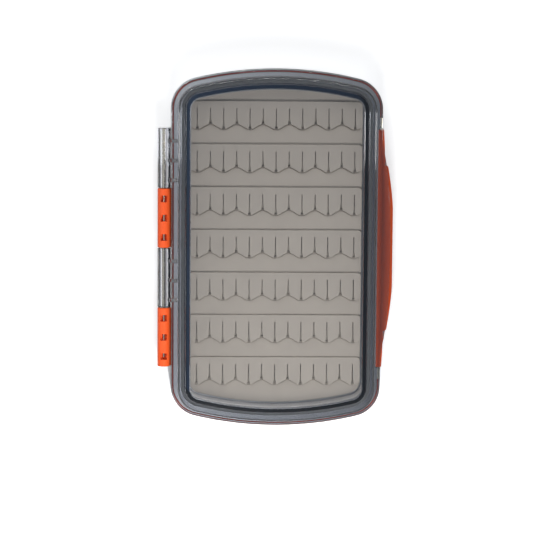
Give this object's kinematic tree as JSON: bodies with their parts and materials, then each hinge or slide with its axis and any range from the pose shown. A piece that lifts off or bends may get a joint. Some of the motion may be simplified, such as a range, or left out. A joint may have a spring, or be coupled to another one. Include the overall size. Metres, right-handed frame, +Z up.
{
  "type": "fly box",
  "caption": "Clear pocket case for fishing flies: hinged lid with a raised window, orange latch, edge seal and gasket, and a slit silicone insert.",
  "frame": {"origin": "middle of the bounding box of the closed case, at the floor that the tray stands on", "axes": "+Z up from the tray to the lid's window, +Y along the long side, +X from the hinge to the latch"},
  "size_m": [0.1127, 0.171, 0.032],
  "materials": {
    "smoke_polycarbonate": "clear, lightly smoke-tinted, moulded and glossy",
    "insert_silicone": "soft matt silicone",
    "foam_tape": "double-sided tape",
    "gasket_silicone": "soft matt silicone",
    "orange_seal": "soft satin elastomer",
    "orange_nylon": "moulded with a fine grain",
    "stainless_pin": "drawn wire, satin"
  },
  "bodies": {
    "tray": {"tray_shell": "smoke_polycarbonate", "slit_insert": "insert_silicone", "insert_tape": "foam_tape", "rim_gasket": "gasket_silicone", "edge_seal": "orange_seal", "upper_hinge_barrel": "orange_nylon", "lower_hinge_barrel": "orange_nylon", "hinge_pin": "stainless_pin"},
    "lid": {"lid_shell": "smoke_polycarbonate", "latch_pin": "stainless_pin"},
    "latch": {"latch": "orange_nylon"}
  },
  "joints": [
    {"name": "lid_hinge", "type": "hinge", "parent": "tray", "child": "lid", "pos_m": [-0.05325, 0, 0.02], "axis": [0, -1, 0], "range_deg": [0, 180]},
    {"name": "latch_swing", "type": "hinge", "parent": "lid", "child": "latch", "pos_m": [0.04975, 0, 0.02161], "axis": [0, -1, 0], "range_deg": [0, 40]}
  ]
}
